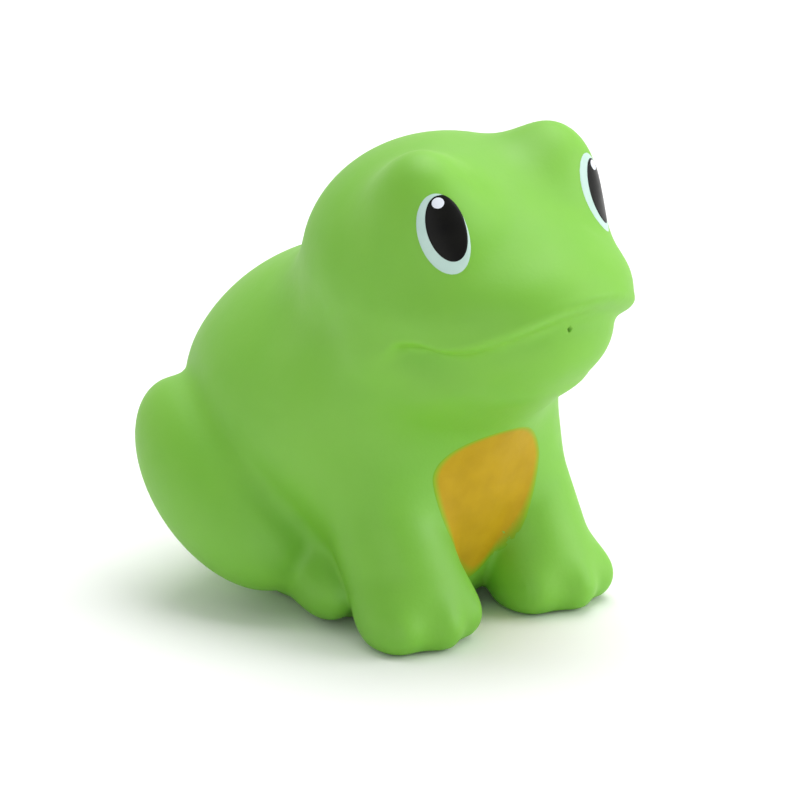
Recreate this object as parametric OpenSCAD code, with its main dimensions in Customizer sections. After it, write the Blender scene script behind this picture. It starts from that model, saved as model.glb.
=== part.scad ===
// Squeaky bath toy: a sitting frog of soft hollow vinyl with painted eyes and belly,
// a small water vent in its chin and a reed squeaker plugged into its base.
// The frog faces -Y, its left side is +X, and it sits on z = 0. Lengths are in millimetres.
// Every soft form is an egg: an ellipsoid with a width (X), a length (Y) and a height (Z).
// A form's place is [side, ahead, up], seen from the middle of the form that it grows from.

/* [Torso] */
// Width of the torso
torso_w = 48; // [44:0.2:52]
// Length of the torso
torso_l = 55.4; // [50:0.2:60]
// Height of the torso
torso_h = 48.8; // [45:0.2:53]
// How far the torso's front end is raised, in degrees
torso_tilt = 23; // [15:0.5:31]
// Height of the torso's middle above the ground
torso_up = 25; // [22:0.2:28]
// How far the torso's middle lies behind the origin
torso_back = 9.9; // [6:0.1:14]
// Width of the chest
chest_w = 31; // [24:0.2:38]
// Length of the chest
chest_l = 26.4; // [23:0.2:30]
// Height of the chest
chest_h = 38; // [30:0.2:44]
// How far the chest leans back, in degrees
chest_tilt = 5; // [0:0.5:12]
// The chest: distance ahead of the torso's middle
chest_ahead = 11.4; // [9.9:0.1:12.9]
// The chest: distance above the torso's middle
chest_up = -5; // [-6.5:0.1:-3.5]
// Width of the seat under the torso
seat_w = 38; // [32:0.2:44]
// Length of the seat
seat_l = 40; // [34:0.2:46]
// Height of the seat
seat_h = 22; // [18:0.2:28]
// The seat: distance ahead of the torso's middle
seat_ahead = 1.9; // [0.4:0.1:3.4]
// The seat: distance above the torso's middle
seat_up = -17; // [-18.5:0.1:-15.5]

/* [Head] */
// Width of the head
head_w = 41.4; // [36:0.2:46]
// Length of the head
head_l = 39.4; // [35:0.2:44]
// Height of the head
head_h = 35; // [32:0.2:38]
// How far the head's front is raised, in degrees
head_tilt = -6; // [-15:0.5:10]
// The head: distance ahead of the torso's middle
head_ahead = 18.4; // [16.9:0.1:19.9]
// The head: distance above the torso's middle
head_up = 25.5; // [24:0.1:27]
// Width of the snout
snout_w = 34.4; // [30:0.2:40]
// Length of the snout
snout_l = 34; // [30:0.2:38]
// Height of the snout
snout_h = 18; // [15:0.2:22]
// How far the snout's tip is raised, in degrees
snout_tilt = 12; // [0:0.5:20]
// The snout: distance ahead of the head's middle
snout_ahead = 11.6; // [10.1:0.1:13.1]
// The snout: distance above the head's middle
snout_up = -3.4; // [-4.9:0.1:-1.9]
// Width of a brow over an eye
brow_w = 15.6; // [13.4:0.2:18]
// Length of a brow
brow_l = 16.4; // [14:0.2:18.6]
// Height of a brow
brow_h = 23; // [20:0.2:26]
// How far a brow's top leans outwards, in degrees
brow_lean = 11; // [0:0.5:22]
// A brow: distance to the side of the head's middle
brow_out = 10.5; // [9:0.1:12]
// A brow: distance ahead of the head's middle
brow_ahead = 7.2; // [5.7:0.1:8.7]
// A brow: distance above the head's middle
brow_up = 7.5; // [6:0.1:9]
// Width of the neck
neck_w = 39; // [34:0.2:44]
// Length of the neck
neck_l = 32; // [27:0.2:37]
// Height of the neck
neck_h = 28; // [24:0.2:34]
// The neck: distance ahead of the head's middle
neck_ahead = -1; // [-2.5:0.1:0.5]
// The neck: distance above the head's middle
neck_up = -12.5; // [-14:0.1:-11]

/* [Mouth] */
// Width of each half of the lower jaw
jaw_w = 25.8; // [23:0.2:28]
// Length of the lower jaw
jaw_l = 34; // [31:0.2:37]
// Height of the lower jaw
jaw_h = 21; // [19:0.2:23]
// The jaw: distance of each half to the side of the head's middle
jaw_out = 1.9; // [0.6:0.1:3.2]
// The jaw: distance ahead of the head's middle
jaw_ahead = 8.9; // [7.4:0.1:10.4]
// The jaw: distance above the head's middle
jaw_up = -5.6; // [-7.1:0.1:-4.1]
// Width of the throat under the jaw
throat_w = 30; // [27:0.2:33]
// Length of the throat
throat_l = 26.4; // [23:0.2:29]
// Height of the throat
throat_h = 9.2; // [7.6:0.2:10.8]
// The throat: distance ahead of the head's middle
throat_ahead = 7.8; // [6.3:0.1:9.3]
// The throat: distance above the head's middle
throat_up = -13.3; // [-14.8:0.1:-11.8]
// Width of a cheek behind the corner of the mouth
cheek_w = 10; // [8:0.2:13]
// Length of a cheek
cheek_l = 12; // [9:0.2:15]
// Height of a cheek
cheek_h = 12; // [9:0.2:15]
// A cheek: distance to the side of the head's middle
cheek_out = 15; // [13.5:0.1:16.5]
// A cheek: distance ahead of the head's middle
cheek_ahead = 3; // [1.5:0.1:4.5]
// A cheek: distance above the head's middle
cheek_up = -7; // [-8.5:0.1:-5.5]
// How far the lip's edge lies below the middle of the head
lip_drop = 7; // [5.5:0.1:8.5]
// How far ahead of the head's middle the lip starts to rise
lip_flat = 15; // [12:0.1:18]
// How steeply the lip rises beyond that, per square millimetre
lip_rise = 0.036; // [0:0.001:0.05]
// How far ahead of the head's middle the corner of the mouth lies
lip_corner = 10; // [6:0.1:14]
// How steeply the lip's edge falls away behind the corner
lip_fall = 0.8; // [0.3:0.05:1.5]
// How far the rim of the upper lip stands out
lip_rim = 0.5; // [0:0.05:0.8]
// Diameter of the water vent in the chin
vent_d = 0.7; // [0.6:0.1:1.2]
// The vent: distance to the left of the head's middle
vent_out = -2.5; // [-4:0.1:0]
// The vent: distance ahead of the head's middle
vent_ahead = 26.3; // [24.8:0.1:27.8]
// The vent: distance above the head's middle
vent_up = -3.8; // [-5.3:0.1:-2.3]
// How far the vent points upwards, in degrees
vent_pitch = 13; // [0:1:25]

/* [Limbs] */
// Width of a haunch
haunch_w = 21; // [18:0.2:24]
// Length of a haunch
haunch_l = 36.8; // [33:0.2:41]
// Height of a haunch
haunch_h = 22.4; // [19.4:0.2:25.4]
// How far a haunch's front end is raised, in degrees
haunch_tilt = -36; // [-45:0.5:-25]
// A haunch: distance to the side of the torso's middle
haunch_out = 18.4; // [16.9:0.1:19.9]
// A haunch: distance ahead of the torso's middle
haunch_ahead = -6.3; // [-7.8:0.1:-4.8]
// A haunch: distance above the torso's middle
haunch_up = -8.1; // [-9.6:0.1:-6.6]
// Depth of the furrow between a haunch and the torso
thigh_furrow = 0.6; // [0:0.1:0.8]
// Thickness of a foreleg at the shoulder
shoulder_d = 15.2; // [13:0.2:18]
// A shoulder: distance to the side of the torso's middle
shoulder_out = 12.8; // [11.3:0.1:14.3]
// A shoulder: distance ahead of the torso's middle
shoulder_ahead = 11.4; // [9.9:0.1:12.9]
// A shoulder: distance above the torso's middle
shoulder_up = 4.8; // [3.3:0.1:6.3]
// Thickness of a foreleg at the wrist
wrist_d = 16; // [14:0.2:17]
// A wrist: distance to the side of the torso's middle
wrist_out = 12.1; // [11:0.1:13.6]
// A wrist: distance ahead of the torso's middle
wrist_ahead = 23.2; // [21.7:0.1:24.7]
// A wrist: distance above the torso's middle
wrist_up = -18; // [-19.5:0.1:-16.5]
// Width of a front toe
fore_toe_w = 7.8; // [6.4:0.1:9]
// Length of a front toe
fore_toe_l = 12; // [10:0.2:14]
// Height of a front toe
fore_toe_h = 9; // [7.2:0.1:11]
// Distance between two front toes
fore_toe_step = 4.7; // [4:0.1:6]
// The front toes: distance to the side of the wrist's middle
fore_toe_out = 0.6; // [-0.6:0.1:2]
// The front toes: distance ahead of the wrist's middle
fore_toe_ahead = 2.5; // [1:0.1:4]
// The front toes: distance above the wrist's middle
fore_toe_up = -3.4; // [-4.9:0.1:-1.9]
// Width of a hind toe
hind_toe_w = 6.8; // [5.4:0.1:8.2]
// Length of a hind toe
hind_toe_l = 14.6; // [12:0.2:17]
// Height of a hind toe
hind_toe_h = 9; // [7.2:0.1:11]
// Distance between two hind toes
hind_toe_step = 4.2; // [3.4:0.1:5.5]
// The hind toes: distance to the side of the haunch's middle
hind_toe_out = -6.4; // [-7.9:0.1:-4.9]
// The hind toes: distance ahead of the haunch's middle
hind_toe_ahead = 16.5; // [15:0.1:18]
// The hind toes: distance above the haunch's middle
hind_toe_up = -11.8; // [-13.3:0.1:-10.3]
// How far the middle toe stands out ahead of its neighbours
toe_lead = 2; // [0.5:0.1:3.5]
// How far the outer toes turn away from the middle one, in degrees
toe_splay = 15; // [0:1:25]

/* [Skin] */
// Thickness of the vinyl
wall = 2; // [1.6:0.1:2.6]
// Height of the neck crease on the frog's axis, where the head moves when it is pressed
crease_up = 40.5; // [36:0.1:44]
// How far ahead of the origin that point of the crease lies
crease_ahead = -3.5; // [-10:0.1:4]
// Slope of the neck crease, higher at the nape, in degrees
crease_tilt = 20; // [10:0.5:28]
// Width of the parting at the crease
crease_gap = 0.3; // [0.2:0.05:0.5]

/* [Paint] */
// Thickness of a coat of paint
paint_t = 0.2; // [0.1:0.05:0.4]
// Clearance under a coat of paint on an eye
paint_gap = 0.18; // [0.15:0.01:0.22]
// Clearance under the belly patch, which lies in the hollow between the forelegs
belly_gap = 0.5; // [0.4:0.05:0.7]
// Width of the white of an eye
white_w = 7; // [6:0.1:7.6]
// Height of the white of an eye
white_h = 11.5; // [10:0.1:13]
// Width of a pupil
pupil_w = 5.7; // [4.4:0.1:6]
// Height of a pupil
pupil_h = 9.7; // [8:0.1:11]
// How far a pupil's middle lies towards the nose
pupil_in = 0.55; // [0:0.05:1]
// How far a pupil's middle lies above the middle of the white
pupil_up = 0.6; // [0:0.05:1.2]
// Width of the glint in a pupil
glint_w = 1.85; // [1.2:0.05:2.4]
// Height of the glint
glint_h = 1.55; // [1.2:0.05:2.4]
// How far a glint lies towards the nose, seen from the pupil
glint_in = -0.15; // [-0.6:0.05:0.3]
// How far a glint lies above the middle of the pupil
glint_up = 3.6; // [2:0.05:3.7]
// How much nearer the nose the left eye's white is painted
left_white_in = 1.2; // [0:0.1:1.5]
// How much higher the left eye's white is painted
left_white_up = 0.4; // [0:0.1:0.8]
// An eye: distance to the side of the head's middle
eye_out = 14.8; // [13.3:0.1:16.3]
// An eye: distance ahead of the head's middle
eye_ahead = 14.9; // [13.4:0.1:16.4]
// An eye: distance above the head's middle
eye_up = 9.5; // [8:0.1:11]
// How far an eye looks sideways, in degrees
eye_yaw = 28; // [18:1:38]
// How far an eye looks upwards, in degrees
eye_pitch = 14; // [4:1:24]
// How far an eye's top leans outwards, in degrees
eye_roll = 13; // [3:1:23]
// Width of the belly patch
belly_w = 20; // [16:0.2:21]
// Height of the belly patch above its widest line
belly_rise = 6; // [4:0.1:8]
// Depth of the belly patch below its widest line
belly_fall = 16; // [12:0.1:16.6]
// Height of its widest line above the middle of the chest
belly_up = 2.5; // [0.5:0.1:4.5]

/* [Squeaker] */
// Outer diameter of the squeaker's barrel
barrel_d = 13; // [12:0.2:15]
// Wall of the squeaker's barrel
barrel_wall = 1; // [0.8:0.1:1.4]
// Height of the barrel, from the flange's underside to its rim
barrel_h = 9; // [8.4:0.1:11]
// Width that the flange stands out from the barrel
flange_out = 2.1; // [1.5:0.1:3]
// Thickness of the flange and of the barrel's floor
flange_t = 1.2; // [0.8:0.1:1.6]
// How far the flange is sunk into the base
flange_sink = 0.5; // [0.3:0.1:1]
// Height of the bead that holds the barrel in the skin
bead_t = 1; // [0.6:0.1:1.4]
// How far the bead stands out from the barrel
bead_out = 0.7; // [0.4:0.1:1.2]
// Height of the skin's collar round the barrel
collar_h = 3.3; // [2.5:0.1:4.2]
// Width of the collar beyond the flange
collar_out = 1.7; // [1.2:0.1:2.5]
// Diameter of the sound hole
sound_d = 2.4; // [1.6:0.1:2.8]
// Thickness of the lid
lid_t = 0.8; // [0.6:0.1:1.2]
// Depth of the lid's spigot in the barrel
spigot_h = 1.2; // [0.8:0.1:1.6]
// Diameter of an air hole in the lid
air_d = 1.2; // [0.8:0.1:1.6]
// Number of air holes in the lid
air_count = 4; // [3:1:6]
// Diameter of the reed block
block_d = 6.4; // [5.6:0.1:8]
// Height of the reed block
block_h = 5.8; // [5:0.1:6.2]
// How far the block's flat face lies from its axis
block_flat = 1.7; // [1.4:0.1:2.4]
// Thickness of the reed
reed_t = 0.15; // [0.1:0.05:0.25]
// Width of the reed
reed_w = 2.4; // [2:0.1:3]
// Length of the reed below its clip
reed_l = 4; // [3.2:0.1:4.2]
// Length of the reed held by its clip
root_l = 1; // [0.6:0.1:1.4]
// Room between the reed and the block
reed_gap = 0.2; // [0.15:0.05:0.3]
// Thickness of the clip that holds the reed
clip_t = 1.2; // [0.9:0.1:1.4]
// Width of each leg of the clip beside the reed
clip_leg = 0.8; // [0.5:0.1:0.9]
// Clearance between fixed pieces that fit into each other
fit_gap = 0.1; // [0.05:0.01:0.2]

/* [Hidden] */
$fn = 64;

// Radii at which neighbouring forms run into each other
chest_blend = 6;
seat_blend = 5;
haunch_blend = 2.4;
snout_blend = 9;
brow_blend = 4.5;
lip_round = 1.4;
mouth_blend = 1.5;
throat_blend = 4;
neck_blend = 6;
cheek_blend = 5;
toe_blend = 3.2;
foot_blend = 3;
wrist_blend = 4;
shoulder_blend = 8;
jaw_blend = 4;
chin_blend = 4;
nape_blend = 8;

// Distances ahead of the head's middle at which the neck's rounding starts and stops growing
chin_end = 13.5;
nape_end = -8.5;

// Half widths of the thigh's furrow and of the lip's rim
furrow_w = 3;
rim_w = 1.6;

// Height of the rim's crest above the lip's edge
rim_up = 0.6;

// Rings and spokes of a coat of paint, and steps that set its points on the skin
paint_rings = 4;
paint_spokes = 24;
paint_lift = 4;
settle_steps = 10;

// Mesh widths of the outside and of the hollow
outer_step = 2.35;
inner_step = 4;

// Room left round the forms when their surface is netted
room_margin = 3;

// Share of a grid cell, along each of its sides, that the net's point in it keeps out of
cell_rim = 0.08;

// Rounding of the hollow at the base, and length of the vent's bore
base_round = 2;
vent_depth = 16;

// How strongly the belly patch is drawn to its tip
belly_taper = 1.5;

// Squeaker: radii, and heights above the flange's underside
barrel_r = barrel_d / 2;
flange_r = barrel_r + flange_out;
collar_r = flange_r + collar_out;
collar_top = flange_t + fit_gap + collar_h;
bead_low = collar_top + fit_gap;

// Reed: height of its root above the squeaker's floor, and the window behind it
root_up = block_h - root_l;
window_edge = 0.5;
window_w = reed_w - 2 * window_edge;

// A point given as [side, ahead, up] from another one
function from(base, v) = base + [v[0], -v[1], v[2]];

// Turns about the three axes, in degrees
function turn_x(a) = [[1, 0, 0], [0, cos(a), -sin(a)], [0, sin(a), cos(a)]];
function turn_y(a) = [[cos(a), 0, sin(a)], [0, 1, 0], [-sin(a), 0, cos(a)]];
function turn_z(a) = [[cos(a), -sin(a), 0], [sin(a), cos(a), 0], [0, 0, 1]];
function flipped(m) = [for (j = [0:2]) [for (i = [0:2]) m[i][j]]];

// An egg as its middle, and the two matrices that measure how far a point lies off it
function egg(at, size, tilt = 0, lean = 0, splay = 0) =
    let (
        back = flipped(turn_z(splay) * turn_y(lean) * turn_x(-tilt)),
        unit = [for (i = [0:2]) back[i] * 2 / size[i]],
        slope = [for (i = [0:2]) unit[i] * 2 / size[i]]
    )
    [at, unit, slope];

// Distance of a point from an egg's surface, negative inside
function off_egg(p, e) =
    let (
        d = p - e[0],
        k = norm(e[1] * d)
    )
    k * (k - 1) / max(norm(e[2] * d), 0.0001);

// Distance from a limb that tapers from point a to point b
function off_limb(p, a, b, r_a, r_b) =
    let (
        along = b - a,
        t = min(max((p - a) * along / (along * along), 0), 1)
    )
    norm(p - a - along * t) - r_a - (r_b - r_a) * t;

// Smooth union of two distances over the length k
function blend(a, b, k) =
    let (h = max(k - abs(a - b), 0) / k)
    min(a, b) - h * h * k / 4;

// A share that grows smoothly from 0 at start to 1 at end
function eased(value, start, end) =
    let (s = min(max((value - start) / (end - start), 0), 1))
    s * s * (3 - 2 * s);

// A bell that is 1 where x is 0 and fades over the width w
function bell(x, w) = exp(-pow(x / w, 2));

// Three toes side by side, the middle one leading
function toes(at, step, size) = [
    for (s = [-1:1])
        egg(from(at, [s * step, s == 0 ? toe_lead : 0, 0]), size, splay = s * toe_splay)
];

function off_toes(p, t) =
    blend(blend(off_egg(p, t[0]), off_egg(p, t[1]), toe_blend), off_egg(p, t[2]), toe_blend);

// Middles of the forms
torso_c = [0, torso_back, torso_up];
seat_c = from(torso_c, [0, seat_ahead, seat_up]);
chest_c = from(torso_c, [0, chest_ahead, chest_up]);
haunch_c = from(torso_c, [haunch_out, haunch_ahead, haunch_up]);
head_c = from(torso_c, [0, head_ahead, head_up]);
shoulder_c = from(torso_c, [shoulder_out, shoulder_ahead, shoulder_up]);
wrist_c = from(torso_c, [wrist_out, wrist_ahead, wrist_up]);

// Eye and belly: the points that their paint is centred on, and the eye's turn
eye_c = from(head_c, [eye_out, eye_ahead, eye_up]);
eye_turn = turn_z(eye_yaw) * turn_x(-eye_pitch) * turn_y(eye_roll);
pupil_shift = [pupil_in, pupil_up];
left_white_shift = [left_white_in, left_white_up];
belly_c = [0, chest_c.y - chest_l / 2, chest_c.z + belly_up];

// The forms, those in pairs on the +X side
torso = egg(torso_c, [torso_w, torso_l, torso_h], torso_tilt);
chest = egg(chest_c, [chest_w, chest_l, chest_h], chest_tilt);
seat = egg(seat_c, [seat_w, seat_l, seat_h]);
haunch = egg(haunch_c, [haunch_w, haunch_l, haunch_h], haunch_tilt);
head = egg(head_c, [head_w, head_l, head_h], head_tilt);
snout = egg(from(head_c, [0, snout_ahead, snout_up]), [snout_w, snout_l, snout_h], snout_tilt);
brow = egg(from(head_c, [brow_out, brow_ahead, brow_up]), [brow_w, brow_l, brow_h], 0, brow_lean);
neck = egg(from(head_c, [0, neck_ahead, neck_up]), [neck_w, neck_l, neck_h]);
jaw = egg(from(head_c, [jaw_out, jaw_ahead, jaw_up]), [jaw_w, jaw_l, jaw_h]);
throat = egg(from(head_c, [0, throat_ahead, throat_up]), [throat_w, throat_l, throat_h]);
cheek = egg(from(head_c, [cheek_out, cheek_ahead, cheek_up]), [cheek_w, cheek_l, cheek_h]);
fore_toes = toes(
    from(wrist_c, [fore_toe_out, fore_toe_ahead, fore_toe_up]),
    fore_toe_step,
    [fore_toe_w, fore_toe_l, fore_toe_h]
);
hind_toes = toes(
    from(haunch_c, [hind_toe_out, hind_toe_ahead, hind_toe_up]),
    hind_toe_step,
    [hind_toe_w, hind_toe_l, hind_toe_h]
);

// Height of the lip's edge at a distance ahead of the head's middle
function lip_z(ahead) =
    let (
        rise = lip_rise * pow(max(ahead - lip_flat, 0), 2),
        fall = lip_fall * max(lip_corner - ahead, 0)
    )
    head_c.z - lip_drop + rise - fall;

// Head above the lip, cut off along the lip's edge, which has a soft rim
function off_upper(p, q) =
    let (
        nose = blend(off_egg(p, head), off_egg(p, snout), snout_blend),
        crown = blend(nose, off_egg(q, brow), brow_blend),
        above_lip = p.z - lip_z(head_c.y - p.y)
    )
    -blend(lip_rim * bell(above_lip - rim_up, rim_w) - crown, above_lip, lip_round);

// Jaw, throat, neck and cheeks below it
function off_lower(p, q) =
    let (
        jaws = blend(off_egg(q, jaw), off_egg([-q.x, q.y, q.z], jaw), jaw_blend),
        chin = blend(jaws, off_egg(p, throat), throat_blend)
    )
    blend(blend(chin, off_egg(p, neck), neck_blend), off_egg(q, cheek), cheek_blend);

// Torso, chest, seat and haunches, with a furrow along each thigh
function off_trunk(p, q) =
    let (
        front = blend(off_egg(p, torso), off_egg(p, chest), chest_blend),
        middle = blend(front, off_egg(p, seat), seat_blend),
        thigh = off_egg(q, haunch)
    )
    blend(middle, thigh, haunch_blend) + thigh_furrow * bell(middle - thigh, furrow_w);

function off_foreleg(q) = off_limb(q, shoulder_c, wrist_c, shoulder_d / 2, wrist_d / 2);

// A foreleg stands clear of the trunk at its foot and grows out of it at the shoulder
function arm_blend(z) = wrist_blend + (shoulder_blend - wrist_blend) * eased(z, wrist_c.z, shoulder_c.z);

// The neck is filled at the nape and stays sharp under the chin
function head_blend(y) = chin_blend + (nape_blend - chin_blend) * eased(head_c.y - y, chin_end, nape_end);

// Distance of a point from the outside of the frog, with or without its toes
function off_frog(p, with_toes = true) =
    let (
        q = [abs(p.x), p.y, p.z],
        face = blend(off_upper(p, q), off_lower(p, q), mouth_blend),
        trunk = off_trunk(p, q),
        leg = off_foreleg(q),
        fore = with_toes ? blend(leg, off_toes(q, fore_toes), foot_blend) : leg,
        hind = with_toes ? blend(trunk, off_toes(q, hind_toes), foot_blend) : trunk
    )
    blend(blend(hind, fore, arm_blend(p.z)), face, head_blend(p.y));

// The twelve edges of a grid cell, each as its two corners
cell_edges = [
    for (a = [0, 1]) for (b = [0, 1])
        each [[[0, a, b], [1, a, b]], [[a, 0, b], [a, 1, b]], [[a, b, 0], [a, b, 1]]]
];

// Does the surface pass through this cell?
function is_cut(v, c) =
    let (
        inside = [
            for (a = [0, 1]) for (b = [0, 1]) for (d = [0, 1])
                if (v[c.x + a][c.y + b][c.z + d] < 0) 1
        ]
    )
    len(inside) > 0 && len(inside) < 8;

// Mean of the points where the surface cuts a cell's edges, in grid units
function cut_point(v, c) =
    let (
        cuts = [
            for (e = cell_edges)
                let (
                    a = c + e[0],
                    b = c + e[1],
                    va = v[a.x][a.y][a.z],
                    vb = v[b.x][b.y][b.z]
                )
                if ((va < 0) != (vb < 0)) a + (b - a) * va / (va - vb)
        ]
    )
    [for (cut = cuts) 1] * cuts / len(cuts);

// Moves a point down or up a field's slope until it lies on the surface
function settled(p, field, steps, e = 0.01) =
    steps == 0 ? p :
    let (
        d = field(p),
        g = [field(p + [e, 0, 0]) - d, field(p + [0, e, 0]) - d, field(p + [0, 0, e]) - d] / e
    )
    settled(p - g * d / (g * g), field, steps - 1, e);

// Keeps a point inside its own grid cell, a little clear of the cell's sides
function in_cell(p, c, step) = [
    for (i = [0:2])
        let (low = room_low[i] + (c[i] + cell_rim) * step)
        min(max(p[i], low), low + (1 - 2 * cell_rim) * step)
];

// Two triangles of a quad, parted along its shorter diagonal
function halves(p, q) =
    norm(p[q[0]] - p[q[2]]) < norm(p[q[1]] - p[q[3]])
        ? [[q[0], q[1], q[2]], [q[0], q[2], q[3]]]
        : [[q[0], q[1], q[3]], [q[1], q[2], q[3]]];

function reversed(q) = [q[3], q[2], q[1], q[0]];

// Room that the frog's forms can fill, from the middle plane outwards
room_low = [0, head_c.y - snout_ahead - snout_l / 2 - room_margin, seat_c.z - seat_h / 2 - room_margin];
room_high = [
    haunch_c.x + haunch_w / 2 + room_margin,
    torso_c.y + torso_l / 2 + room_margin,
    head_c.z + brow_up + brow_h / 2 + room_margin
];

// Points and triangles of the closed surface of a field that is alike on both sides of x = 0
function net(field, step) =
    let (
        n = [for (i = [0:2]) ceil((room_high[i] - room_low[i]) / step)],
        v = [
            for (i = [0:n.x]) [for (j = [0:n.y]) [for (k = [0:n.z]) field(room_low + [i, j, k] * step)]]
        ],
        cells = [for (i = [0:n.x - 1]) for (j = [0:n.y - 1]) for (k = [0:n.z - 1]) [i, j, k]],
        flags = [for (c = cells) is_cut(v, c) ? 1 : 0],
        ranks = [for (m = 0, r = 0; m < len(flags); r = r + flags[m], m = m + 1) r],
        half = [
            for (m = [0:len(cells) - 1])
                let (c = cells[m])
                if (flags[m] == 1) in_cell(settled(room_low + cut_point(v, c) * step, field, 2), c, step)
        ],
        points = concat(half, [for (p = half) [-p.x, p.y, p.z]]),
        rank = function(i, j, k)
            i < 0 ? len(half) + ranks[((-1 - i) * n.y + j) * n.z + k] : ranks[(i * n.y + j) * n.z + k],
        turned = function(quad, inside) inside ? quad : reversed(quad),
        quad_x = function(i, j, k)
            turned(
                [rank(i, j - 1, k - 1), rank(i, j - 1, k), rank(i, j, k), rank(i, j, k - 1)],
                v[i][j][k] < 0
            ),
        quad_y = function(i, j, k)
            turned(
                [rank(i - 1, j, k - 1), rank(i, j, k - 1), rank(i, j, k), rank(i - 1, j, k)],
                v[i][j][k] < 0
            ),
        quad_z = function(i, j, k)
            turned(
                [rank(i - 1, j - 1, k), rank(i - 1, j, k), rank(i, j, k), rank(i, j - 1, k)],
                v[i][j][k] < 0
            ),
        across = [
            for (i = [0:n.x - 1]) for (j = [1:n.y - 1]) for (k = [1:n.z - 1])
                if ((v[i][j][k] < 0) != (v[i + 1][j][k] < 0)) quad_x(i, j, k)
        ],
        along = function(i) [
            for (j = [1:n.y - 1]) for (k = [1:n.z - 1]) each [
                if ((v[i][j][k] < 0) != (v[i][j + 1][k] < 0)) quad_y(i, j, k),
                if ((v[i][j][k] < 0) != (v[i][j][k + 1] < 0)) quad_z(i, j, k)
            ]
        ],
        side = concat(across, [for (i = [1:n.x - 1]) each along(i)]),
        other = [for (q = side) reversed([for (m = q) m + len(half)])],
        quads = concat(side, other, along(0))
    )
    [points, [for (q = quads) each halves(points, q)]];

// A closed solid over a field
module solid_of(field, step) {
    mesh = net(field, step);
    polyhedron(points = mesh[0], faces = mesh[1], convexity = 10);
}

// Everything above or below the neck crease
module crease_half(above) {
    reach = torso_l + head_l + snout_l;
    translate([0, -crease_ahead, crease_up])
        rotate([crease_tilt, 0, 0])
            translate([-reach, -reach, above ? crease_gap / 2 : -reach - crease_gap / 2])
                cube([2 * reach, 2 * reach, reach]);
}

// Distance from the hollow inside the skin, flat above the base
function off_hollow(p) = -blend(-off_frog(p, false) - wall, p.z - wall, base_round);

// The vinyl skin on one side of the crease
module vinyl(above) {
    intersection() {
        difference() {
            solid_of(function(p) off_frog(p), outer_step);
            solid_of(function(p) off_hollow(p), inner_step);
        }
        crease_half(above);
    }
}

module skin_head() {
    color("yellowgreen")
        difference() {
            vinyl(true);
            translate(from(head_c, [vent_out, vent_ahead, vent_up]))
                rotate([90 - vent_pitch, 0, 0])
                    cylinder(d = vent_d, h = vent_depth, center = true);
        }
}

module skin_body() {
    color("yellowgreen")
        difference() {
            union() {
                vinyl(false);
                at_squeaker() translate([0, 0, wall / 2 - flange_sink])
                    cylinder(r = collar_r, h = collar_top + flange_sink - wall / 2);
            }
            translate([-torso_w, -torso_l, -torso_h])
                cube([2 * torso_w, 2 * torso_l, torso_h]);
            at_squeaker() translate([0, 0, -flange_sink - 1])
                cylinder(r = flange_r + fit_gap, h = flange_sink + 1 + flange_t + fit_gap);
            at_squeaker()
                cylinder(r = barrel_r + fit_gap, h = barrel_h);
        }
}

// Skin point straight behind a point in front of it, looking along n
function on_skin(p, n, steps) = steps == 0 ? p : on_skin(p - n * off_frog(p), n, steps - 1);

// Points of a coat of paint on the skin: its middle and its rings.
// frame turns the flat outline, drawn [towards the nose, up], to face its side of the frog.
function coat_points(c, frame, outline, shift) =
    let (
        n = frame * [0, -1, 0],
        spot = function(u)
            on_skin(c + frame * [-shift[0] - u[0], -paint_lift, shift[1] + u[1]], n, settle_steps)
    )
    concat([spot([0, 0])], [for (r = [1:paint_rings]) for (u = outline) spot(u * r / paint_rings)]);

// A coat of paint whose underside lies at the height low over the skin
module coat(c, frame, outline, shift, low) {
    n = frame * [0, -1, 0];
    flat = coat_points(c, frame, outline, shift);
    m = len(outline);
    count = len(flat);
    fan = [for (j = [0:m - 1]) [0, 1 + j, 1 + (j + 1) % m]];
    bands = [
        for (r = [0:paint_rings - 2]) for (j = [0:m - 1])
            let (
                a = 1 + r * m + j,
                b = 1 + r * m + (j + 1) % m
            )
            each [[a, a + m, b + m], [a, b + m, b]]
    ];
    top = concat(fan, bands);
    under = [for (f = top) [f[2] + count, f[1] + count, f[0] + count]];
    rim = [
        for (j = [0:m - 1])
            let (
                a = count - m + j,
                b = count - m + (j + 1) % m
            )
            each [[a, a + count, b + count], [a, b + count, b]]
    ];
    polyhedron(
        points = concat([for (p = flat) p + n * (low + paint_t)], [for (p = flat) p + n * low]),
        faces = concat(top, under, rim),
        convexity = 4
    );
}

function oval(w, h) = [
    for (j = [0:paint_spokes - 1])
        let (a = 360 * j / paint_spokes)
        [w / 2 * cos(a), h / 2 * sin(a)]
];

// Outline of the belly patch, round above its widest line and drawn to a tip below it
belly_outline = [
    for (j = [0:paint_spokes - 1])
        let (
            a = 360 * j / paint_spokes,
            e = sin(a) > 0 ? 1 : belly_taper
        )
        [
            belly_w / 2 * sign(cos(a)) * pow(abs(cos(a)), e),
            sin(a) > 0 ? belly_rise * sin(a) : -belly_fall * pow(abs(sin(a)), e)
        ]
];

// Height over the skin of the layer-th coat on an eye, counted from 0
function coat_low(layer) = paint_gap + layer * (paint_t + paint_gap);

module eye_white(shift) {
    color("white") coat(eye_c, eye_turn, oval(white_w, white_h), shift, coat_low(0));
}

module pupil() {
    color("black") coat(eye_c, eye_turn, oval(pupil_w, pupil_h), pupil_shift, coat_low(1));
}

module eye_glint() {
    shift = pupil_shift + [glint_in, glint_up];
    color("white") coat(eye_c, eye_turn, oval(glint_w, glint_h), shift, coat_low(2));
}

module belly_patch() {
    color("goldenrod") coat(belly_c, turn_z(0), belly_outline, [0, 0], belly_gap);
}

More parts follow.
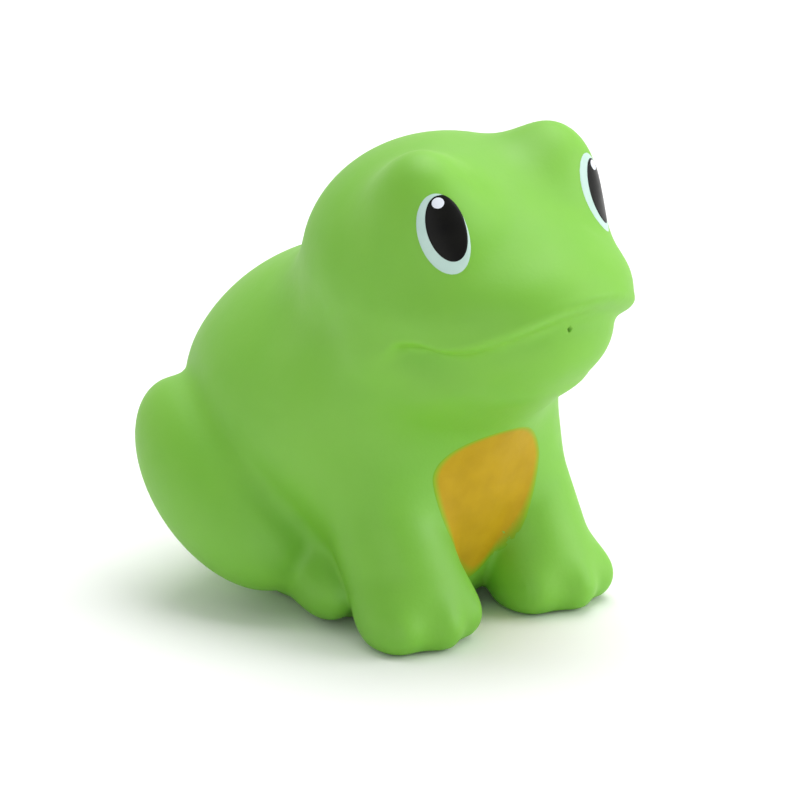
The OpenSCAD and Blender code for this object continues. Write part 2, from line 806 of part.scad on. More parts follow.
// Squeaker frame: on the seat's axis, with z = 0 at the underside of the flange
module at_squeaker() {
    translate([0, seat_c.y, flange_sink]) children();
}

// Reed frame: on the squeaker's floor, with +X turned to look ahead
module at_reed() {
    at_squeaker() translate([0, 0, flange_t]) rotate([0, 0, -90]) children();
}

module squeaker_cup() {
    color("ivory") at_squeaker() rotate_extrude() polygon([
        [sound_d / 2, 0],
        [flange_r, 0],
        [flange_r, flange_t],
        [barrel_r, flange_t],
        [barrel_r, bead_low],
        [barrel_r + bead_out, bead_low],
        [barrel_r, bead_low + bead_t],
        [barrel_r, barrel_h],
        [barrel_r - barrel_wall, barrel_h],
        [barrel_r - barrel_wall, flange_t],
        [sound_d / 2, flange_t]
    ]);
}

module squeaker_lid() {
    spigot_r = barrel_r - barrel_wall - fit_gap;
    color("ivory") at_squeaker() translate([0, 0, barrel_h]) difference() {
        rotate_extrude() polygon([
            [0, -spigot_h],
            [spigot_r, -spigot_h],
            [spigot_r, 0],
            [barrel_r, 0],
            [barrel_r, lid_t],
            [0, lid_t]
        ]);
        for (i = [0:air_count - 1])
            rotate([0, 0, 360 * i / air_count])
                translate([spigot_r - 2 * air_d, 0, -spigot_h - 1])
                    cylinder(d = air_d, h = spigot_h + lid_t + 2);
    }
}

// Block on the squeaker's floor with an air way that opens in its flat face, behind the reed
module reed_block() {
    color("wheat") at_reed() difference() {
        cylinder(d = block_d, h = block_h);
        translate([block_flat, -block_d, -1]) cube([block_d, 2 * block_d, block_h + 2]);
        translate([0, 0, -1]) cylinder(d = sound_d, h = 1 + root_up);
        translate([0, -window_w / 2, root_up - reed_l + window_edge])
            cube([block_d, window_w, reed_l - 2 * window_edge]);
    }
}

module reed_tongue() {
    color("gold") at_reed()
        translate([block_flat + reed_gap, -reed_w / 2, root_up - reed_l])
            cube([reed_t, reed_w, reed_l + root_l]);
}

// Clip on the block's flat face that holds the reed's root
module reed_clip() {
    slot = reed_w + 2 * reed_gap;
    color("wheat") at_reed() translate([block_flat, 0, root_up]) difference() {
        translate([0, -slot / 2 - clip_leg, 0]) cube([clip_t, slot + 2 * clip_leg, root_l]);
        translate([-1, -slot / 2, -1]) cube([1 + 2 * reed_gap + reed_t, slot, root_l + 2]);
    }
}

skin_head();
skin_body();
eye_white(left_white_shift);  // eye_white_left
mirror([1, 0, 0]) eye_white([0, 0]);  // eye_white_right
pupil();  // pupil_left
mirror([1, 0, 0]) pupil();  // pupil_right
eye_glint();  // eye_glint_left
mirror([1, 0, 0]) eye_glint();  // eye_glint_right
belly_patch();
squeaker_cup();
squeaker_lid();
reed_block();
reed_tongue();
reed_clip();
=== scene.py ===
"""Looks of a squeaky bath toy: one soft vinyl frog skin, its coats of paint and a plain studio.

The frog faces -Y, its left side is +X and it sits on z = 0, as in the CAD frame.
Forms are written in millimetres, as in the part's source, and become metres when a mesh is made.
"""

import math

import bpy
import numpy as np
from mathutils import Matrix, Vector


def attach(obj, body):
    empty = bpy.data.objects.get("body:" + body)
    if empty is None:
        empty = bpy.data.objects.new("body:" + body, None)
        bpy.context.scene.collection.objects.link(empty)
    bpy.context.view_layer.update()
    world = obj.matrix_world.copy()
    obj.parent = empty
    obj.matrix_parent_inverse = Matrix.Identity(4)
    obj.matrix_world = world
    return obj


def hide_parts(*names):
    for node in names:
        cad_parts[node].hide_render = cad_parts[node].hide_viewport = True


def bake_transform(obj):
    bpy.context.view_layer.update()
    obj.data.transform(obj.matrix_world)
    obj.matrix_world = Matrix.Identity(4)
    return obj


MM = 0.001

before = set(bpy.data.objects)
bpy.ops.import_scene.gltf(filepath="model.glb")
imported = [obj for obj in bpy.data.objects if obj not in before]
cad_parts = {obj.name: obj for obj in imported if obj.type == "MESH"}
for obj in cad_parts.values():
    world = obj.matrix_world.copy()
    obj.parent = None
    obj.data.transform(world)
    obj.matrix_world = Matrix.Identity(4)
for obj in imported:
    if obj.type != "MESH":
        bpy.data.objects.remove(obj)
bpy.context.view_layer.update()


# Mirrors a point to the frog's other side
MIRROR = np.array([-1.0, 1, 1])

# Least values that keep a division safe: an egg's slope at its middle, and a field's squared slope
LEAST_EGG_SLOPE = 0.0001
LEAST_SLOPE_SQUARED = 0.05


# Forms of the frog: eggs with a width, a length and a height, and forelegs that taper
def turn_x(degrees):
    c, s = math.cos(math.radians(degrees)), math.sin(math.radians(degrees))
    return np.array([[1, 0, 0], [0, c, -s], [0, s, c]])


def turn_y(degrees):
    c, s = math.cos(math.radians(degrees)), math.sin(math.radians(degrees))
    return np.array([[c, 0, s], [0, 1, 0], [-s, 0, c]])


def turn_z(degrees):
    c, s = math.cos(math.radians(degrees)), math.sin(math.radians(degrees))
    return np.array([[c, -s, 0], [s, c, 0], [0, 0, 1]])


def place(base, side, ahead, up):
    """The point that lies so far to the side of, ahead of and above another one."""
    return np.array(base, float) + (side, -ahead, up)


class Egg:
    """An ellipsoid; tilt raises its front, lean moves its top outwards and splay turns it about Z."""

    def __init__(self, at, size, tilt=0, lean=0, splay=0):
        radii = np.array(size, float)[:, None] / 2
        back = (turn_z(splay) @ turn_y(lean) @ turn_x(-tilt)).T
        self.at = at
        self.unit = (back / radii).T
        self.slope = (back / radii**2).T

    def off(self, p):
        """Distance of points from the surface, negative inside."""
        d = p - self.at
        k = np.linalg.norm(d @ self.unit, axis=-1)
        g = np.linalg.norm(d @ self.slope, axis=-1)
        return k * (k - 1) / np.maximum(g, LEAST_EGG_SLOPE)


def off_limb(p, a, b, r_a, r_b):
    """Distance of points from a limb that tapers from a to b."""
    along = b - a
    t = np.clip((p - a) @ along / (along @ along), 0, 1)
    return np.linalg.norm(p - a - t[..., None] * along, axis=-1) - r_a - (r_b - r_a) * t


def blend(a, b, k):
    """Smooth union of two distances over the length k."""
    h = np.maximum(k - np.abs(a - b), 0) / k
    return np.minimum(a, b) - h * h * k / 4


def bell(x, width):
    """1 where x is 0, fading over the width."""
    return np.exp(-((x / width) ** 2))


def cut(a, b, k):
    """Smooth part of a that also lies in b."""
    return -blend(-a, -b, k)


TOE_LEAD = 2
TOE_SPLAY = 15


def toes(at, step, size):
    """Three toes side by side, fanned out, with the middle one ahead."""
    three = []
    for side in (-1, 0, 1):
        lead = 0 if side else TOE_LEAD
        three.append(Egg(place(at, side * step, lead, 0), size, splay=side * TOE_SPLAY))
    return three


# Middles of the larger forms, and the ends of a foreleg
TORSO_AT = np.array([0, 9.9, 25])
HEAD_AT = place(TORSO_AT, 0, 18.4, 25.5)
HAUNCH_AT = place(TORSO_AT, 18.4, -6.3, -8.1)
SEAT_AT = place(TORSO_AT, 0, 1.9, -17)
CHEST_AT = place(TORSO_AT, 0, 11.4, -5)
SHOULDER_AT = place(TORSO_AT, 12.8, 11.4, 4.8)
WRIST_AT = place(TORSO_AT, 12.1, 23.2, -18)

# Forms, each with its middle and its size
TORSO = Egg(TORSO_AT, (48, 55.4, 48.8), tilt=23)
CHEST = Egg(CHEST_AT, (31, 26.4, 38), tilt=5)
SEAT = Egg(SEAT_AT, (38, 40, 22))
HAUNCH = Egg(HAUNCH_AT, (21, 36.8, 22.4), tilt=-36)
HEAD = Egg(HEAD_AT, (41.4, 39.4, 35), tilt=-6)
SNOUT = Egg(place(HEAD_AT, 0, 11.6, -3.4), (34.4, 34, 18), tilt=12)
BROW = Egg(place(HEAD_AT, 10.5, 7.2, 7.5), (15.6, 16.4, 23), lean=11)
NECK = Egg(place(HEAD_AT, 0, -1, -12.5), (39, 32, 28))
JAW = Egg(place(HEAD_AT, 1.9, 8.9, -5.6), (25.8, 34, 21))
THROAT = Egg(place(HEAD_AT, 0, 7.2, -12.9), (30, 26, 8.6))
CHEEK = Egg(place(HEAD_AT, 15, 3, -7), (10, 12, 12))
FORE_TOES = toes(place(WRIST_AT, 0.6, 2.5, -3.4), 4.7, (7.8, 12, 9))
HIND_TOES = toes(place(HAUNCH_AT, -6.4, 16.5, -11.8), 4.2, (6.8, 14.6, 9))

# Radii of a foreleg at its two ends
SHOULDER_R = 7.6
WRIST_R = 8

# Lengths over which neighbouring forms run into each other
CHEST_BLEND = 6
SEAT_BLEND = 5
HAUNCH_BLEND = 2.4
SNOUT_BLEND = 9
BROW_BLEND = 4.5
LIP_ROUND = 1.4
MOUTH_BLEND = 1.5
JAW_BLEND = 4
THROAT_BLEND = 3.5
NECK_BLEND = 6
CHEEK_BLEND = 5
TOE_BLEND = 3.2
FOOT_BLEND = 3
WRIST_BLEND = 1.2
SHOULDER_BLEND = 8
CHIN_BLEND = 4
NAPE_BLEND = 8
SOLE_ROUND = 1

# Distances ahead of the head's middle between which the neck's blend grows from chin to nape
CHIN_END = 13.5
NAPE_END = -8.5

# The furrow along a thigh and the rim of the upper lip
FURROW_DEPTH = 0.6
FURROW_WIDTH = 3
RIM_HEIGHT = 0.5
RIM_UP = 0.6
RIM_WIDTH = 1.6

# The soft pits at the corners of the mouth
DIMPLE_AT = place(HEAD_AT, 18.3, 12.5, -6.7)
DIMPLE_DEPTH = 0.8
DIMPLE_WIDTH = 3

# The upper lip's edge: its drop below the head's middle, where it bends, and how steeply
LIP_DROP = 7
LIP_FLAT = 15
LIP_RISE = 0.036
LIP_CORNER = 10
LIP_FALL = 0.8


def lip_z(ahead):
    """Height of the upper lip's edge at a distance ahead of the head's middle."""
    rise = LIP_RISE * np.maximum(ahead - LIP_FLAT, 0) ** 2
    fall = LIP_FALL * np.maximum(LIP_CORNER - ahead, 0)
    return HEAD_AT[2] - LIP_DROP + rise - fall


def off_toes(p, three):
    """Distance of points from the three toes of a foot."""
    inner, middle, outer = (toe.off(p) for toe in three)
    return blend(blend(inner, middle, TOE_BLEND), outer, TOE_BLEND)


def eased(value, start, end):
    """A share that grows smoothly from 0 at start to 1 at end."""
    share = np.clip((value - start) / (end - start), 0, 1)
    return share**2 * (3 - 2 * share)


def arm_blend(z):
    """The foreleg stands clear of the trunk below and grows out of it at the shoulder."""
    share = eased(z, WRIST_AT[2], SHOULDER_AT[2])
    return WRIST_BLEND + (SHOULDER_BLEND - WRIST_BLEND) * share


def head_blend(y):
    """The neck is filled at the nape and stays sharp under the chin."""
    share = eased(HEAD_AT[1] - y, CHIN_END, NAPE_END)
    return CHIN_BLEND + (NAPE_BLEND - CHIN_BLEND) * share


def off_upper(p, q):
    """The head above the lip, cut off along the lip's edge, which has a soft rim."""
    nose = blend(HEAD.off(p), SNOUT.off(p), SNOUT_BLEND)
    crown = blend(nose, BROW.off(q), BROW_BLEND)
    above_lip = p[..., 2] - lip_z(HEAD_AT[1] - p[..., 1])
    return cut(crown - RIM_HEIGHT * bell(above_lip - RIM_UP, RIM_WIDTH), -above_lip, LIP_ROUND)


def off_lower(p, q):
    """The jaw in two halves, the throat, the neck and the cheeks."""
    jaws = blend(JAW.off(q), JAW.off(q * MIRROR), JAW_BLEND)
    chin = blend(jaws, THROAT.off(p), THROAT_BLEND)
    return blend(blend(chin, NECK.off(p), NECK_BLEND), CHEEK.off(q), CHEEK_BLEND)


def off_trunk(p, q):
    """Torso, chest, seat, haunches and hind toes, with a furrow along each thigh."""
    front = blend(TORSO.off(p), CHEST.off(p), CHEST_BLEND)
    middle = blend(front, SEAT.off(p), SEAT_BLEND)
    thigh = HAUNCH.off(q)
    whole = blend(middle, thigh, HAUNCH_BLEND) + FURROW_DEPTH * bell(middle - thigh, FURROW_WIDTH)
    return blend(whole, off_toes(q, HIND_TOES), FOOT_BLEND)


def off_foreleg(q):
    """Distance of points from a foreleg with its toes."""
    limb = off_limb(q, SHOULDER_AT, WRIST_AT, SHOULDER_R, WRIST_R)
    return blend(limb, off_toes(q, FORE_TOES), FOOT_BLEND)


def off_frog(p):
    """Distance of points from the outside of the frog; q holds them folded to the left side."""
    q = p.copy()
    q[..., 0] = np.abs(p[..., 0])
    dimple = DIMPLE_DEPTH * bell(np.linalg.norm(q - DIMPLE_AT, axis=-1), DIMPLE_WIDTH)
    face = blend(off_upper(p, q), off_lower(p, q), MOUTH_BLEND) + dimple
    body = blend(off_trunk(p, q), off_foreleg(q), arm_blend(p[..., 2]))
    return blend(body, face, head_blend(p[..., 1]))


def off_skin(p):
    """The outside with soft edges where it meets the ground."""
    return cut(off_frog(p), -p[..., 2], SOLE_ROUND)


def surface_net(field, low, high, step):
    """Vertices and outward quads of the surface where the field is 0."""
    low, high = np.array(low, float), np.array(high, float)
    counts = np.ceil((high - low) / step).astype(int) + 1
    axes = [low[i] + step * np.arange(counts[i]) for i in range(3)]
    value = field(np.stack(np.meshgrid(*axes, indexing="ij"), axis=-1))
    inside = value < 0
    cells = counts - 1
    corners = [(i, j, k) for i in (0, 1) for j in (0, 1) for k in (0, 1)]

    def at_corner(grid, c):
        return grid[c[0] : c[0] + cells[0], c[1] : c[1] + cells[1], c[2] : c[2] + cells[2]]

    filled = sum(at_corner(inside, c).astype(int) for c in corners)
    active = (filled > 0) & (filled < 8)
    total = np.zeros((active.sum(), 3))
    hits = np.zeros(active.sum())
    for c in corners:
        for axis in range(3):
            if c[axis]:
                continue
            far = tuple(1 if i == axis else c[i] for i in range(3))
            a, b = at_corner(value, c)[active], at_corner(value, far)[active]
            crossed = (a < 0) != (b < 0)
            share = np.where(crossed, a / np.where(crossed, a - b, 1), 0)
            spot = np.tile(np.array(c, float), (len(a), 1))
            spot[:, axis] += share
            total += spot * crossed[:, None]
            hits += crossed
    points = low + step * (np.argwhere(active) + total / hits[:, None])

    index = np.full(active.shape, -1)
    index[active] = np.arange(len(points))
    quads = []
    for axis in range(3):
        e, g = (axis + 1) % 3, (axis + 2) % 3
        first = np.take(inside, range(counts[axis] - 1), axis)
        second = np.take(inside, range(1, counts[axis]), axis)
        edge = np.argwhere(first != second)
        ring = []
        for de, dg in ((-1, -1), (0, -1), (0, 0), (-1, 0)):
            cell = edge.copy()
            cell[:, e] += de
            cell[:, g] += dg
            ring.append(index[tuple(cell.T)])
        quad = np.stack(ring, axis=1)
        outwards = first[tuple(edge.T)]
        quads.append(np.where(outwards[:, None], quad, quad[:, ::-1]))
    return points, np.vstack(quads)


def slope_of(field, p, reach=0.02):
    """Slope of the field at points, from its values a short reach to both sides."""
    steps = np.eye(3) * reach
    return np.stack([(field(p + d) - field(p - d)) / (2 * reach) for d in steps], axis=-1)


def settled(field, p, steps=3):
    """Points moved along the field's slope until they lie on its surface."""
    for _ in range(steps):
        g = slope_of(field, p)
        p = p - g * (field(p) / np.maximum((g * g).sum(-1), LEAST_SLOPE_SQUARED))[:, None]
    return p


# Meshes
def add_mesh(name, points, faces, material):
    """A smooth object in metres from points in millimetres."""
    mesh = bpy.data.meshes.new(name)
    mesh.from_pydata((np.asarray(points) * MM).tolist(), [], [[int(i) for i in f] for f in faces])
    mesh.shade_smooth()
    mesh.materials.append(material)
    obj = bpy.data.objects.new(name, mesh)
    bpy.context.scene.collection.objects.link(obj)
    return obj


def carve(obj, points, faces):
    """Cuts a closed form out of an object."""
    cutter = add_mesh(obj.name + "_cutter", points, faces, obj.data.materials[0])
    modifier = obj.modifiers.new("carve", "BOOLEAN")
    modifier.operation = "DIFFERENCE"
    modifier.solver = "EXACT"
    modifier.object = cutter
    graph = bpy.context.evaluated_depsgraph_get()
    carved = bpy.data.meshes.new_from_object(obj.evaluated_get(graph))
    obj.modifiers.clear()
    old, obj.data = obj.data, carved
    bpy.data.meshes.remove(old)
    bpy.data.objects.remove(cutter)


def lathe(profile, turn, at, segments):
    """Closed form of revolution about its own Z; profile holds [radius, height] from foot to top."""
    rings = len(profile)
    points = []
    for r, z in profile:
        for s in range(segments):
            angle = 2 * math.pi * s / segments
            points.append(at + turn @ np.array([r * math.cos(angle), r * math.sin(angle), z]))
    faces = []
    for i in range(rings - 1):
        for s in range(segments):
            a, b = i * segments + s, i * segments + (s + 1) % segments
            faces.append((a, b, b + segments, a + segments))
    faces.append(tuple(reversed(range(segments))))
    faces.append(tuple(range((rings - 1) * segments, rings * segments)))
    return points, faces


# Materials, with colours as linear shares of red, green and blue
VINYL_DEEP = (0.158, 0.448, 0.018)
VINYL_PALE = (0.180, 0.478, 0.025)
ORANGE_DEEP = (0.43, 0.265, 0.003)
ORANGE_PALE = (0.49, 0.305, 0.005)
WHITE_DEEP = (0.44, 0.62, 0.56)
WHITE_PALE = (0.50, 0.67, 0.61)
BLACK_DEEP = (0.003, 0.003, 0.003)
BLACK_PALE = (0.006, 0.006, 0.005)
GLINT_DEEP = (0.68, 0.72, 0.79)
GLINT_PALE = (0.74, 0.78, 0.85)
SHEET_DEEP = (0.90, 0.90, 0.90)
SHEET_PALE = (0.92, 0.92, 0.92)
IVORY_DEEP = (0.80, 0.78, 0.70)
IVORY_PALE = (0.86, 0.85, 0.78)
CREAM_DEEP = (0.68, 0.60, 0.44)
CREAM_PALE = (0.74, 0.67, 0.51)
AMBER_DEEP = (0.62, 0.42, 0.10)
AMBER_PALE = (0.70, 0.50, 0.14)

# The range in which most values of a noise texture lie
NOISE_LOW = 0.3
NOISE_HIGH = 0.7


def new_material(name):
    """A material with its nodes, its links and its main shader."""
    material = bpy.data.materials.new(name)
    material.use_nodes = True
    nodes = material.node_tree.nodes
    return material, nodes, material.node_tree.links, nodes["Principled BSDF"]


def noise(nodes, links, scale, detail=3.0):
    """Noise over the object's own coordinates, in cycles per metre."""
    coords = nodes.new("ShaderNodeTexCoord")
    texture = nodes.new("ShaderNodeTexNoise")
    texture.inputs["Scale"].default_value = scale
    texture.inputs["Detail"].default_value = detail
    links.new(coords.outputs["Object"], texture.inputs["Vector"])
    return texture.outputs["Fac"]


def add_tint(nodes, links, bsdf, scale, dark, light, low=NOISE_LOW, high=NOISE_HIGH):
    """Base colour that wanders between two tones."""
    node = nodes.new("ShaderNodeValToRGB")
    for element, position, colour in zip(node.color_ramp.elements, (low, high), (dark, light)):
        element.position = position
        element.color = (*colour, 1)
    links.new(noise(nodes, links, scale), node.inputs["Fac"])
    links.new(node.outputs["Color"], bsdf.inputs["Base Color"])


def add_sheen(nodes, links, bsdf, scale, low, high):
    """Roughness that wanders between two values."""
    node = nodes.new("ShaderNodeMapRange")
    node.inputs["From Min"].default_value = NOISE_LOW
    node.inputs["From Max"].default_value = NOISE_HIGH
    node.inputs["To Min"].default_value = low
    node.inputs["To Max"].default_value = high
    links.new(noise(nodes, links, scale), node.inputs["Value"])
    links.new(node.outputs["Result"], bsdf.inputs["Roughness"])


def add_bump(nodes, links, bsdf, scale, height):
    """Fine bumps whose full height is in metres."""
    node = nodes.new("ShaderNodeBump")
    node.inputs["Distance"].default_value = height
    links.new(noise(nodes, links, scale, detail=2), node.inputs["Height"])
    links.new(node.outputs["Normal"], bsdf.inputs["Normal"])


def vinyl():
    """Soft green vinyl that lets a little light through."""
    material, nodes, links, bsdf = new_material("soft_green_vinyl")
    add_tint(nodes, links, bsdf, scale=45, dark=VINYL_DEEP, light=VINYL_PALE, low=0.35, high=0.65)
    add_sheen(nodes, links, bsdf, scale=160, low=0.52, high=0.60)
    add_bump(nodes, links, bsdf, scale=1400, height=0.00002)
    bsdf.inputs["Subsurface Weight"].default_value = 0.3
    bsdf.inputs["Subsurface Radius"].default_value = (0.8, 1.0, 0.35)
    bsdf.inputs["Subsurface Scale"].default_value = 0.002
    bsdf.inputs["Specular IOR Level"].default_value = 0.7
    return material


def paint(name, dark, light, roughness, specular):
    """A coat of paint, a little uneven in colour and sheen."""
    material, nodes, links, bsdf = new_material(name)
    add_tint(nodes, links, bsdf, scale=300, dark=dark, light=light)
    add_sheen(nodes, links, bsdf, scale=500, low=roughness, high=roughness + 0.08)
    add_bump(nodes, links, bsdf, scale=2200, height=0.00001)
    bsdf.inputs["Specular IOR Level"].default_value = specular
    return material


def sprayed_paint():
    """Belly orange that thins out into the green at its edge."""
    material = paint("sprayed_orange", ORANGE_DEEP, ORANGE_PALE, roughness=0.55, specular=0.2)
    nodes, links = material.node_tree.nodes, material.node_tree.links
    base = nodes["Principled BSDF"].inputs["Base Color"]
    orange = base.links[0].from_socket
    cover = nodes.new("ShaderNodeAttribute")
    cover.attribute_name = "cover"
    mix = nodes.new("ShaderNodeMix")
    mix.data_type = "RGBA"
    mix.inputs["A"].default_value = (*VINYL_DEEP, 1)
    links.new(cover.outputs["Fac"], mix.inputs["Factor"])
    links.new(orange, mix.inputs["B"])
    links.new(mix.outputs["Result"], base)
    return material


def moulded_plastic(name, dark, light):
    """Hard plastic of the squeaker's pieces."""
    material, nodes, links, bsdf = new_material(name)
    add_tint(nodes, links, bsdf, scale=250, dark=dark, light=light)
    add_sheen(nodes, links, bsdf, scale=700, low=0.4, high=0.55)
    add_bump(nodes, links, bsdf, scale=3000, height=0.00001)
    return material


# Skin: the net's cell and the box that it fills
SKIN_STEP = 0.6
SKIN_LOW = (-30.3, -39.3, -0.9)
SKIN_HIGH = (30.3, 39.3, 71.7)

# The vent under the lip, bored across the skin
VENT_AT = place(HEAD_AT, -2.5, 26.3, -3.8)
VENT_PITCH = 13
VENT_TURN = turn_x(90 - VENT_PITCH)
VENT_R = 0.35
VENT_REACH = 5

# The squeaker's pocket: a recess for the rim, a waist that holds the cup and room above it, cut from below
SQUEAKER_AT = np.array([0, SEAT_AT[1], 0])
RECESS_R = 8.7
RECESS_TOP = 1.8
WAIST_R = 6.6
WAIST_TOP = 5.1
ROOM_R = 8.2
ROOM_TOP = 11.8
BELOW_GROUND = -2


def bend_with_head(obj):
    """Bakes the object's transform into its mesh."""
    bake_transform(obj)


def make_skin():
    """The frog's outside, with the bore of the vent and the pocket that holds the squeaker."""
    points, quads = surface_net(off_skin, SKIN_LOW, SKIN_HIGH, SKIN_STEP)
    skin = add_mesh("skin", settled(off_skin, points), quads, vinyl())
    vent = [(VENT_R, -VENT_REACH), (VENT_R, VENT_REACH)]
    pocket = [
        (RECESS_R, BELOW_GROUND),
        (RECESS_R, RECESS_TOP),
        (WAIST_R, RECESS_TOP),
        (WAIST_R, WAIST_TOP),
        (ROOM_R, WAIST_TOP),
        (ROOM_R, ROOM_TOP),
    ]
    carve(skin, *lathe(vent, VENT_TURN, VENT_AT, segments=24))
    carve(skin, *lathe(pocket, np.eye(3), SQUEAKER_AT, segments=96))
    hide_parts("skin_head", "skin_body")
    bend_with_head(skin)


make_skin()


# Paint: caps that lie on the skin, with their edges tucked into it and so many points round them
SPOKES = 72

# The share of a cap over which its colour thins out at the edge
EDGE_FADE = 0.12

# Distance before the skin from which a cap's points are laid on it
LAID_FROM = 4.0

# The left eye and its coats, with sizes as [width, height] and shifts as [towards the nose, up].
# The right eye mirrors it, apart from the shift of its white.
EYE_AT = place(HEAD_AT, 14.8, 14.9, 9.5)
EYE_YAW = 28
EYE_PITCH = 14
EYE_ROLL = 13
EYE_TURN = turn_z(EYE_YAW) @ turn_x(-EYE_PITCH) @ turn_y(EYE_ROLL)
EYE_WHITE_SIZE = (7, 11.5)
PUPIL_SIZE = (5.7, 9.7)
GLINT_SIZE = (1.85, 1.55)
LEFT_WHITE_SHIFT = (1.2, 0.4)
RIGHT_WHITE_SHIFT = (0, 0)
PUPIL_SHIFT = np.array([0.55, 0.6])
GLINT_SHIFT = PUPIL_SHIFT + (-0.15, 3.6)

# Heights of the coats over the skin
EYE_WHITE_LIFT = 0.06
PUPIL_LIFT = 0.1
GLINT_LIFT = 0.14
BELLY_LIFT = 0.05

# The belly patch: its widest line and its reach above and below it
BELLY_AT = place(CHEST_AT, 0, 13.2, 2.5)
BELLY_HALF_WIDTH = 10.3
BELLY_RISE = 6.2
BELLY_FALL = 17
BELLY_TAPER = 1.4


def on_skin(p, n, steps=14):
    """Points moved against n until they lie on the skin."""
    for _ in range(steps):
        p = p - n * off_frog(p)[:, None]
    return p


def coat(name, centre, turn, outline, shift, lift, material, mirrored=False, rings=14):
    """A cap of paint on the skin, with its edge tucked in.

    outline gives [towards the nose, up] for an angle, shift moves it, and lift is its height over the skin.
    """
    angles = 2 * np.pi * np.arange(SPOKES) / SPOKES
    rim = np.stack([outline(a) for a in angles])
    shares = np.linspace(0, 1, rings + 1)[1:]
    flat = np.vstack([[(0, 0)]] + [rim * s for s in shares]) + shift
    n = turn @ np.array([0, -1, 0])
    ahead = np.full(len(flat), LAID_FROM)
    start = centre + np.stack([-flat[:, 0], -ahead, flat[:, 1]], axis=1) @ turn.T
    share = np.concatenate([[0], np.repeat(shares, SPOKES)])
    height = np.where(share < 1, lift, -lift)
    points = on_skin(start, n) + n * height[:, None]
    faces = [(0, 1 + j, 1 + (j + 1) % SPOKES) for j in range(SPOKES)]
    for r in range(rings - 1):
        for j in range(SPOKES):
            a, b = 1 + r * SPOKES + j, 1 + r * SPOKES + (j + 1) % SPOKES
            faces.append((a, a + SPOKES, b + SPOKES, b))
    if mirrored:
        points = points * MIRROR
        faces = [f[::-1] for f in faces]
    obj = add_mesh(name, points, faces, material)
    cover = obj.data.attributes.new("cover", "FLOAT", "POINT")
    cover.data.foreach_set("value", np.clip((1 - share) / EDGE_FADE, 0, 1).astype(np.float32))
    return obj


def oval(size):
    """Outline of an oval with a width and a height."""
    width, height = size
    return lambda a: np.array([width / 2 * math.cos(a), height / 2 * math.sin(a)])


def make_eyes():
    """The pupils are alike; the left white is painted a little nearer the nose and higher."""
    white = paint("eye_white", WHITE_DEEP, WHITE_PALE, roughness=0.3, specular=0.3)
    black = paint("pupil_black", BLACK_DEEP, BLACK_PALE, roughness=0.3, specular=0.12)
    glint = paint("glint_white", GLINT_DEEP, GLINT_PALE, roughness=0.3, specular=0.3)
    for side, white_shift in (("left", LEFT_WHITE_SHIFT), ("right", RIGHT_WHITE_SHIFT)):
        coats = [
            ("eye_white", "eye_white_paint", EYE_WHITE_SIZE, white_shift, EYE_WHITE_LIFT, white),
            ("pupil", "pupil_paint", PUPIL_SIZE, PUPIL_SHIFT, PUPIL_LIFT, black),
            ("eye_glint", "glint_paint", GLINT_SIZE, GLINT_SHIFT, GLINT_LIFT, glint),
        ]
        for kind, slot, size, shift, lift, material in coats:
            name = f"{kind}_{side}"
            mirrored = side == "right"
            obj = coat("paint_" + name, EYE_AT, EYE_TURN, oval(size), shift, lift, material, mirrored)
            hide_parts(name)
            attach(obj, "head")


def belly_outline(a):
    """Round above its widest line, drawn to a tip below it."""
    c, s = math.cos(a), math.sin(a)
    if s > 0:
        return np.array([BELLY_HALF_WIDTH * c, BELLY_RISE * s])
    across = math.copysign(abs(c) ** BELLY_TAPER, c)
    return np.array([BELLY_HALF_WIDTH * across, -BELLY_FALL * abs(s) ** BELLY_TAPER])


def make_belly():
    """The orange patch on the chest, with rings close enough for its soft edge."""
    orange = sprayed_paint()
    obj = coat("paint_belly", BELLY_AT, np.eye(3), belly_outline, (0, 0), BELLY_LIFT, orange, rings=40)
    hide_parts("belly_patch")
    bend_with_head(obj)


make_eyes()
make_belly()


# Squeaker: the CAD nodes themselves, as moulded plastic
def dress_squeaker():
    ivory = moulded_plastic("squeaker_ivory", IVORY_DEEP, IVORY_PALE)
    cream = moulded_plastic("reed_cream", CREAM_DEEP, CREAM_PALE)
    amber = moulded_plastic("reed_amber", AMBER_DEEP, AMBER_PALE)
    looks = {
        "squeaker_cup": ivory,
        "squeaker_lid": ivory,
        "reed_block": cream,
        "reed_clip": cream,
        "reed_tongue": amber,
    }
    for node, material in looks.items():
        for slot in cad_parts[node].material_slots:
            slot.material = material


dress_squeaker()


# The studio. Its camera was fitted to the photo, in degrees, millimetres and pixels
CAMERA_AZIMUTH = -43
CAMERA_ELEVATION = 17
CAMERA_DISTANCE = 900
FOCAL_PIXELS = 6480
IMAGE_PIXELS = 800
SENSOR_MM = 36
PINNED_POINT = np.array([0, -13.5, 0])
PINNED_PIXEL = (472.5, 617)

# The sheet on the floor reaches so far from the toy
FLOOR_HALF = 3000

# The point that the lights look at, in metres as their own places
LIGHT_AIM = Vector((0, 0, 0.03))


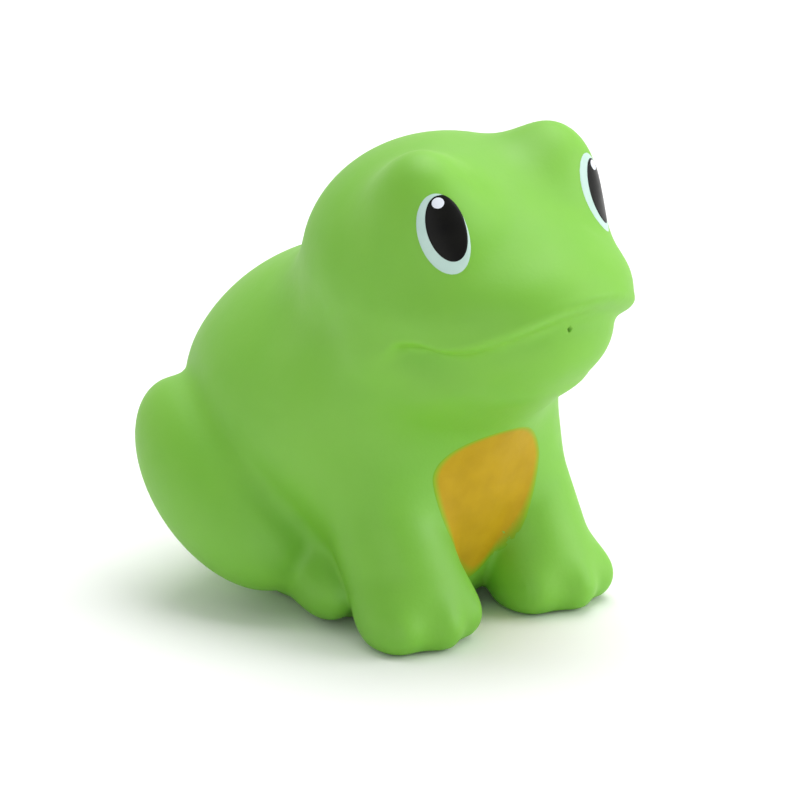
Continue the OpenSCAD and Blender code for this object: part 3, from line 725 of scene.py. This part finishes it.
def add_camera():
    """The photo's view, in which the pinned point falls on the pinned pixel."""
    a, e = math.radians(CAMERA_AZIMUTH), math.radians(CAMERA_ELEVATION)
    back = np.array([math.sin(a) * math.cos(e), -math.cos(a) * math.cos(e), math.sin(e)])
    right = np.array([math.cos(a), math.sin(a), 0])
    up = np.cross(back, right)
    scale = FOCAL_PIXELS / CAMERA_DISTANCE
    middle = IMAGE_PIXELS / 2
    aside = right * (PINNED_PIXEL[0] - middle) / scale
    above = up * (middle - PINNED_PIXEL[1]) / scale
    aim = PINNED_POINT - aside - above
    at = aim + back * CAMERA_DISTANCE
    data = bpy.data.cameras.new("camera")
    data.sensor_width = SENSOR_MM
    data.lens = FOCAL_PIXELS / IMAGE_PIXELS * SENSOR_MM
    camera = bpy.data.objects.new("camera", data)
    turn = Matrix([[right[i], up[i], back[i]] for i in range(3)])
    camera.matrix_world = Matrix.Translation(Vector(at * MM)) @ turn.to_4x4()
    bpy.context.scene.collection.objects.link(camera)
    bpy.context.scene.camera = camera


def add_light(name, at, size, watts):
    """A square soft box that looks at the toy, with its place and size in metres."""
    data = bpy.data.lights.new(name, "AREA")
    data.size = size
    data.energy = watts
    light = bpy.data.objects.new(name, data)
    light.location = at
    light.rotation_euler = (LIGHT_AIM - Vector(at)).to_track_quat("-Z", "Y").to_euler()
    bpy.context.scene.collection.objects.link(light)


def add_floor():
    """A white sheet that takes the toy's shadow."""
    material, nodes, links, bsdf = new_material("studio_white")
    add_tint(nodes, links, bsdf, scale=2, dark=SHEET_DEEP, light=SHEET_PALE)
    bsdf.inputs["Roughness"].default_value = 0.9
    bsdf.inputs["Specular IOR Level"].default_value = 0.1
    corners = [(x * FLOOR_HALF, y * FLOOR_HALF, 0) for x, y in ((-1, -1), (1, -1), (1, 1), (-1, 1))]
    add_mesh("floor", corners, [(0, 1, 2, 3)], material)


def add_world(near, far):
    """Soft light from all round, from a weaker side behind the camera to a stronger one beyond the toy."""
    world = bpy.data.worlds.new("studio")
    world.use_nodes = True
    nodes, links = world.node_tree.nodes, world.node_tree.links
    coords = nodes.new("ShaderNodeTexCoord")
    beyond = nodes.new("ShaderNodeVectorMath")
    beyond.operation = "DOT_PRODUCT"
    a = math.radians(CAMERA_AZIMUTH)
    beyond.inputs[1].default_value = (-math.sin(a), math.cos(a), 0)
    level = nodes.new("ShaderNodeMapRange")
    level.inputs["From Min"].default_value = -1
    level.inputs["To Min"].default_value = near
    level.inputs["To Max"].default_value = far
    background = nodes["Background"]
    background.inputs["Color"].default_value = (1, 1, 1, 1)
    links.new(coords.outputs["Generated"], beyond.inputs[0])
    links.new(beyond.outputs["Value"], level.inputs["Value"])
    links.new(level.outputs["Result"], background.inputs["Strength"])
    bpy.context.scene.world = world


add_camera()
add_floor()
add_world(near=0.3, far=1.0)
add_light("top", at=(0.25, 0.1, 1.0), size=0.9, watts=8)
add_light("right_fill", at=(0.85, -0.95, 0.5), size=0.9, watts=9)
add_light("left_fill", at=(-1.0, -0.8, 0.35), size=0.8, watts=3)
bpy.context.scene.view_settings.view_transform = "Standard"
